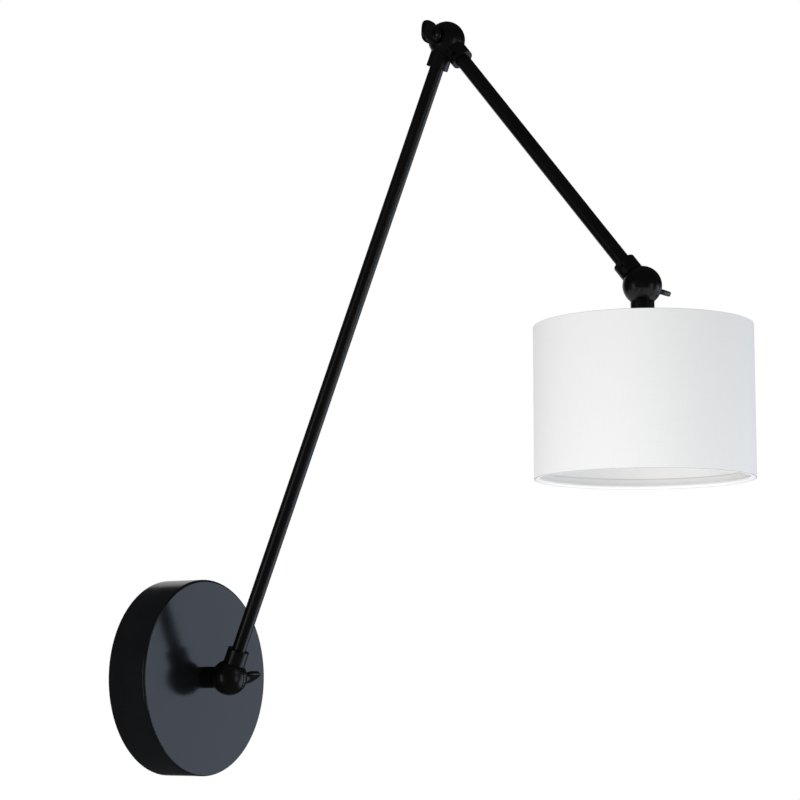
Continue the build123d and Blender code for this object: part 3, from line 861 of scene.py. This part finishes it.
@dataclass
class Shade(SubAssembly):
    """Drum shade: laminated cloth rolled round a ring at each rim, lapped in one upright seam."""

    body: str = "head"
    wall: float = 0.8 * MM
    rim_radius: float = 0.38 * MM
    rim_steps: int = 4
    ring_wire: float = 2.6 * MM
    ring_inset: float = 0.3 * MM
    ring_gap: float = 0.05 * MM
    hem_wall: float = 0.15 * MM
    hem_height: float = 7.0 * MM
    hem_bite: float = 0.2 * MM
    hem_stand_off: float = 0.02 * MM
    hem_slack: float = 0.03 * MM
    hem_edge: float = 1.0 * MM
    hem_wrap: Limits = (270.0, 120.0)
    hem_wrap_steps: int = 14
    lap_width: float = 10.0 * MM
    lap_rise: float = 0.3 * MM
    lap_sink: float = 0.1 * MM
    lap_inset: float = 0.3 * MM
    lap_bearing: float = 58.7
    lap_steps: int = 12
    steps: int = 240

    def __post_init__(self) -> None:
        """Reads the shade's place from the frame."""
        low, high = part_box("shade_panel")
        self.radius = (high.x - low.x) / 2
        self.bottom, self.top = low.z, high.z
        self.axis_foot = Vector(((low.x + high.x) / 2, (low.y + high.y) / 2, 0.0))
        self.cloth = Weave("shade_cloth", (0.88, 0.885, 0.89), 0.72, tuple(self.axis_foot), self.radius)
        # Grey-green for the rims' flat faces: painted shade, the dark line where the rims' undersides fall in
        # shade.
        self.rim_painted_shade = Moulding("shade_rim_painted_shade", (0.42, 0.5, 0.5), 0.5, 0.8 * MM, 0.006 * MM, 0.1)
        self.lining = Moulding("shade_lining", (0.94, 0.94, 0.935), 0.42, 0.8 * MM, 0.006 * MM, 0.03)

    def build(self) -> None:
        """Makes the cloth, its hems and its seam, and dresses the wires."""
        hems = [self.hem(rim) for rim in Rim]
        seam = self.lap_seam()
        panel = self.panel()
        flat = (FULL_TURN * self.radius + self.lap_width, self.top - self.bottom + 2 * self.hem_height)
        self.dress(WHITE_DIP, Slot.ENAMELLED_WIRE, "shade_fitter", "shade_bottom_ring")

    def panel(self) -> bpy.types.Object:
        """The drum of laminated cloth: woven outside, smooth film inside, and grey-green flat rim faces that
        are painted shade under the rims.
        """
        edge = self.rim_radius
        outside, inside = self.radius - edge, self.radius - self.wall + edge
        low, high = self.bottom + edge, self.top - edge
        corners = [(outside, low), (outside, high), (inside, high), (inside, low)]
        profile = [
            point for quarter, corner in enumerate(corners)
            for point in arc(corner, edge, 90 * (quarter - 1), 90 * quarter, self.rim_steps)
        ]
        piece = Form().turned(profile, self.axis_foot, UP, self.steps).finished("shade_cloth_panel", 50.0)
        for face in piece.data.polygons:
            outwards = face.center - self.axis_foot
            outwards.z = 0.0
            if outwards.length < self.radius - self.wall / 2:
                face.material_index = 1
            # The flat top and bottom rim faces take the grey-green painted shade.
            if abs(face.normal.z) > 0.5:
                face.material_index = 2
        return self.fit(piece, [self.cloth, self.lining, self.rim_painted_shade], Slot.FABRIC, "shade_panel")

    def lap_seam(self) -> bpy.types.Object:
        """The upright strip where the cloth laps over itself."""
        start = math.radians(self.lap_bearing) - self.lap_width / self.radius / 2
        direction = Vector((math.cos(start), math.sin(start), 0.0))
        foot, face = self.radius - self.lap_sink, self.radius + self.lap_rise
        low, high = self.bottom + self.lap_inset, self.top - self.lap_inset
        profile = [(foot, low), (face, low), (face, high), (foot, high)]
        width = self.lap_width / self.radius
        form = Form().turned(profile, self.axis_foot, UP, self.lap_steps, width, direction)
        piece = form.capped().finished("shade_lap_seam")
        return self.fit(piece, [self.cloth], Slot.FABRIC)

    def hem(self, rim: Rim) -> bpy.types.Object:
        """The cloth turned in over one ring and glued down inside.

        Args:
            rim: which rim.

        Returns:
            The hem.
        """
        edge = self.bottom if rim is Rim.BOTTOM else self.top
        inner = self.radius - self.wall
        wire = self.ring_wire / 2
        half = self.hem_wall / 2
        ring = (inner - self.ring_gap - wire, self.ring_inset + wire)
        inwards = [
            (inner + self.hem_bite, half + self.hem_stand_off),
            *arc(ring, wire + half + self.hem_slack, *self.hem_wrap, self.hem_wrap_steps),
            (inner - self.hem_wall, self.hem_height - self.hem_edge),
            (inner - half, self.hem_height),
        ]
        profile = [(radius, edge + rim.value * height) for radius, height in inwards]
        form = Form().turned(profile, self.axis_foot, UP, self.steps, closed=False)
        piece = thickened(form.finished(f"shade_{rim.name.lower()}_hem", 60.0), self.hem_wall)
        return self.fit(piece, [self.lining], Slot.FABRIC)


# ---------------------------------------------------------------- studio


@dataclass
class Softbox:
    """A rectangular area light that looks at the lamp."""

    name: str
    bearing: float
    height: float
    distance: float
    width: float
    tall: float
    radiance: float
    colour: Colour = WHITE
    mirrored: bool = True

    def light(self, target: Vector) -> None:
        """Hangs the light.

        Args:
            target: the point that it looks at.
        """
        a, e = math.radians(self.bearing), math.radians(self.height)
        away = Vector((math.sin(a) * math.cos(e), -math.cos(a) * math.cos(e), math.sin(e)))
        data = bpy.data.lights.new(self.name, "AREA")
        data.shape = "RECTANGLE"
        data.size, data.size_y = self.width, self.tall
        data.energy = self.radiance * math.pi * self.width * self.tall
        data.color = self.colour
        lamp = bpy.data.objects.new(self.name, data)
        lamp.location = target + away * self.distance
        lamp.rotation_euler = (-away).to_track_quat("-Z", "Y").to_euler()
        lamp.visible_camera = False
        lamp.visible_glossy = self.mirrored
        bpy.context.scene.collection.objects.link(lamp)


@dataclass
class Studio:
    """Pale floor, white surroundings, soft lights and the camera."""

    bearing: float = -56.905
    pitch: float = 7.674
    stand_off: float = 1.6611
    sidestep: float = 0.16552
    eye_height: float = -0.02063
    lens: float = 102.37
    sensor: float = 36.0
    near: float = 0.05
    far: float = 100.0
    floor_depth: float = 2.6
    floor_radius: float = 16.0
    floor_steps: int = 96
    ambient: float = 0.52
    reflected: float = 0.03

    def build(self) -> None:
        """Sets the floor, surroundings, lights and camera."""
        self.floor()
        self.surroundings()
        low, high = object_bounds()
        for softbox in self.softboxes():
            softbox.light((low + high) / 2)
        self.camera()
        bpy.context.scene.view_settings.view_transform = "Standard"

    def softboxes(self) -> list[Softbox]:
        """The lights."""
        return [
            Softbox("canopy_panel", 52, -20, 1.7, 1.5, 1.6, 1.05, (0.83, 0.97, 1.2)),
            Softbox("back_rim", 145, 5, 2.0, 1.0, 1.6, 0.6),
            Softbox("left_strip", -113, -11, 2.0, 0.55, 1.2, 0.9),
            Softbox("right_strip", -5, -13, 2.0, 0.55, 1.2, 0.9),
            Softbox("key_from_left", -114, -20, 2.0, 1.6, 1.8, 1.55, (1.0, 0.985, 0.95), False),
            Softbox("front_fill", -50, -22, 2.2, 2.0, 2.0, 1.15, WHITE, False),
            Softbox("overhead", 0, 88, 1.8, 1.6, 1.6, 0.6, WHITE, False),
            Softbox("under_light", 0, -88, 1.8, 1.6, 1.6, 1.9, WHITE, False),
        ]

    def floor(self) -> None:
        """A wide pale floor, far below."""
        form = Form()
        bmesh.ops.create_circle(form.bm, cap_ends=True, segments=self.floor_steps, radius=self.floor_radius)
        bmesh.ops.translate(form.bm, verts=form.bm.verts[:], vec=(0.0, 0.0, -self.floor_depth))
        piece = form.finished("studio_floor")
        paint = Moulding("floor_paint", (0.93, 0.93, 0.92), 0.6, 2 * MM, 0.05 * MM, 0.03)
        piece.data.materials.append(paint.material())
        piece.visible_glossy = False
        piece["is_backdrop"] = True

    def surroundings(self) -> None:
        """White as seen by the camera, softer as a light and dim in reflections."""
        graph = Graph(bpy.data.worlds.new("studio"))
        path = graph.node("ShaderNodeLightPath")
        levels = {"": self.ambient, "Is Glossy Ray": self.reflected, "Is Camera Ray": 1.0}
        shown = None
        for ray, level in levels.items():
            sockets = {"Strength": level, "Color": (*WHITE, 1.0)}
            glow = graph.node("ShaderNodeBackground", None, sockets).outputs[0]
            if shown:
                sockets = {0: path.outputs[ray], 1: shown, 2: glow}
                glow = graph.node("ShaderNodeMixShader", None, sockets).outputs[0]
            shown = glow
        graph.node("ShaderNodeOutputWorld", None, {0: shown})
        bpy.context.scene.world = graph.owner

    def camera(self) -> None:
        """The camera, in front of the wall and to the lamp's left, a little below its middle."""
        turn = math.radians(self.bearing)
        back = Vector((math.sin(turn), -math.cos(turn), 0.0))
        right = Vector((math.cos(turn), math.sin(turn), 0.0))
        data = bpy.data.cameras.new("studio_camera")
        data.lens = self.lens
        data.sensor_width = self.sensor
        data.clip_start, data.clip_end = self.near, self.far
        camera = bpy.data.objects.new("studio_camera", data)
        camera.location = back * self.stand_off + right * self.sidestep + UP * self.eye_height
        camera.rotation_euler = (math.radians(90 + self.pitch), 0.0, turn)
        bpy.context.scene.collection.objects.link(camera)
        bpy.context.scene.camera = camera


def main() -> None:
    """Builds the lamp and the studio, in order."""
    logging.basicConfig(level=logging.INFO, format="%(message)s")
    assemblies = [
        WallBase(),
        Arm("long_arm", ("shoulder_washer", "elbow_washer")),
        Arm("short_arm", ("head_washer",)),
        Lampholder(),
        Shade(),
        Thumbscrew("shoulder_screw", "shoulder_thumbscrew", 1, 62.0),
        Thumbscrew("elbow_screw", "elbow_thumbscrew", -1, 4.0),
        Thumbscrew("head_screw", "head_thumbscrew", 1, 110.0),
    ]
    for assembly in assemblies:
        assembly.build()
    Studio().build()


if __name__ == "__main__":
    main()
